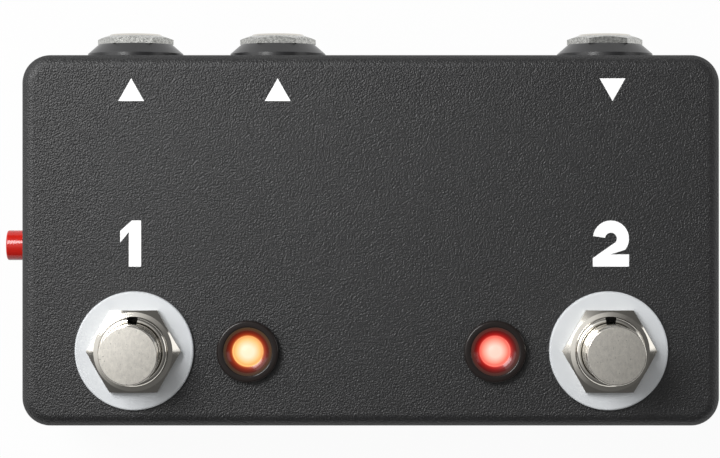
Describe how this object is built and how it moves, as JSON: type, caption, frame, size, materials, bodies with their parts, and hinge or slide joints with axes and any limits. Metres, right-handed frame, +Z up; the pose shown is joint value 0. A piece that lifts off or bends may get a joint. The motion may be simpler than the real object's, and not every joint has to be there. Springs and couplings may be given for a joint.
{
  "type": "audio switch pedal",
  "caption": "Floor pedal that routes an instrument signal: a cast box with foot switches, lit lamps in concave holders, jack sockets in its back wall and a push button in its side.",
  "frame": {"origin": "middle of the base plate's underside, on the surface that the pedal stands on", "axes": "+X to the player's right, +Y away from the player towards the jack sockets, +Z up"},
  "size_m": [0.1253, 0.0689, 0.0523],
  "materials": {
    "case_coat": "die-cast, black fine-texture powder coat",
    "screw_steel": "zinc plated",
    "nickel": "satin nickel plate on brass",
    "nose_nickel": "nickel plate on brass",
    "nylon": "white nylon",
    "black_plastic": "moulded, satin",
    "holder_gloss": "glossy",
    "amber_lamp": "lit amber lamp, clear resin",
    "red_lamp": "lit red lamp, clear resin",
    "red_gloss": "glossy red",
    "contact_brass": "tinned",
    "spring_steel": "drawn wire",
    "switch_blue": "moulded blue",
    "guide_white": "moulded white",
    "board_green": "lacquered glass-fibre board",
    "resistor_body": "lacquered",
    "component_black": "moulded and sleeved",
    "wire_insulation": "red insulation"
  },
  "bodies": {
    "root": {"base_plate": "case_coat", "base_screws": "screw_steel", "button_spring": "spring_steel", "button_switch_body": "black_plastic", "circuit_board": "board_green", "enclosure_shell": "case_coat", "footswitch_inner_nuts": "nickel", "footswitch_lock_washers": "screw_steel", "footswitch_nuts": "nickel", "footswitch_washers": "nylon", "input_jack_housing": "black_plastic", "input_jack_nose": "nose_nickel", "input_jack_terminals": "contact_brass", "jack_nuts": "nickel", "jack_washers": "black_plastic", "lamp_holder_rings": "black_plastic", "left_footswitch_bushing": "nickel", "left_footswitch_case": "switch_blue", "left_footswitch_frame": "screw_steel", "left_footswitch_lugs": "contact_brass", "left_footswitch_spring": "spring_steel", "left_footswitch_spring_guide": "guide_white", "left_footswitch_wires": "wire_insulation", "left_lamp": "amber_lamp", "left_lamp_holder": "holder_gloss", "left_lamp_leads": "contact_brass", "output_1_jack_housing": "black_plastic", "output_1_jack_nose": "nose_nickel", "output_1_jack_terminals": "contact_brass", "output_2_jack_housing": "black_plastic", "output_2_jack_nose": "nose_nickel", "output_2_jack_terminals": "contact_brass", "power_socket_contact": "contact_brass", "power_socket_housing": "black_plastic", "power_socket_pin": "contact_brass", "protection_diode": "component_black", "resistors": "resistor_body", "right_footswitch_bushing": "nickel", "right_footswitch_case": "switch_blue", "right_footswitch_frame": "screw_steel", "right_footswitch_lugs": "contact_brass", "right_footswitch_spring": "spring_steel", "right_footswitch_spring_guide": "guide_white", "right_footswitch_wires": "wire_insulation", "right_lamp": "red_lamp", "right_lamp_holder": "holder_gloss", "right_lamp_leads": "contact_brass", "supply_capacitor": "component_black"},
    "button": {"button_cap": "red_gloss", "button_stem": "black_plastic"},
    "input_tip": {"input_jack_tip_contact": "contact_brass"},
    "left_rocker": {"left_footswitch_contacts": "contact_brass", "left_footswitch_rocker": "guide_white"},
    "left_plunger": {"left_footswitch_plunger": "nickel"},
    "output_1_tip": {"output_1_jack_tip_contact": "contact_brass"},
    "output_2_tip": {"output_2_jack_tip_contact": "contact_brass"},
    "right_rocker": {"right_footswitch_contacts": "contact_brass", "right_footswitch_rocker": "guide_white"},
    "right_plunger": {"right_footswitch_plunger": "nickel"}
  },
  "joints": [
    {"name": "left_footswitch_press", "type": "slide", "parent": "root", "child": "left_plunger", "axis": [0, 0, -1], "range_m": [0, 0.003], "stiffness_N_per_m": 700, "springref_m": -0.006, "deforming": ["left_footswitch_spring"]},
    {"name": "left_rocker_throw", "type": "hinge", "parent": "root", "child": "left_rocker", "pos_m": [-0.0404, -0.0188, 0.0221], "axis": [0, -1, 0], "range_deg": [0, 18]},
    {"name": "right_footswitch_press", "type": "slide", "parent": "root", "child": "right_plunger", "axis": [0, 0, -1], "range_m": [0, 0.003], "stiffness_N_per_m": 700, "springref_m": -0.006, "deforming": ["right_footswitch_spring"]},
    {"name": "right_rocker_throw", "type": "hinge", "parent": "root", "child": "right_rocker", "pos_m": [0.0406, -0.0188, 0.0221], "axis": [0, -1, 0], "range_deg": [0, 18]},
    {"name": "button_press", "type": "slide", "parent": "root", "child": "button", "axis": [1, 0, 0], "range_m": [0, 0.0018], "stiffness_N_per_m": 1000, "springref_m": -0.001, "deforming": ["button_spring"]},
    {"name": "output_1_tip_flex", "type": "hinge", "parent": "root", "child": "output_1_tip", "pos_m": [-0.0412, 0.02334, 0.0334], "axis": [-1, 0, 0], "range_deg": [0, 4.5], "stiffness_Nm_per_rad": 0.3, "springref_deg": -2.86},
    {"name": "output_2_tip_flex", "type": "hinge", "parent": "root", "child": "output_2_tip", "pos_m": [-0.0162, 0.02334, 0.0334], "axis": [-1, 0, 0], "range_deg": [0, 4.5], "stiffness_Nm_per_rad": 0.3, "springref_deg": -2.86},
    {"name": "input_tip_flex", "type": "hinge", "parent": "root", "child": "input_tip", "pos_m": [0.04125, 0.02334, 0.0334], "axis": [-1, 0, 0], "range_deg": [0, 4.5], "stiffness_Nm_per_rad": 0.3, "springref_deg": -2.86}
  ],
  "couplings": [
    {"joint": "left_rocker_throw", "follows": "left_footswitch_press", "rad_per_m": 104.7},
    {"joint": "right_rocker_throw", "follows": "right_footswitch_press", "rad_per_m": 104.7}
  ]
}
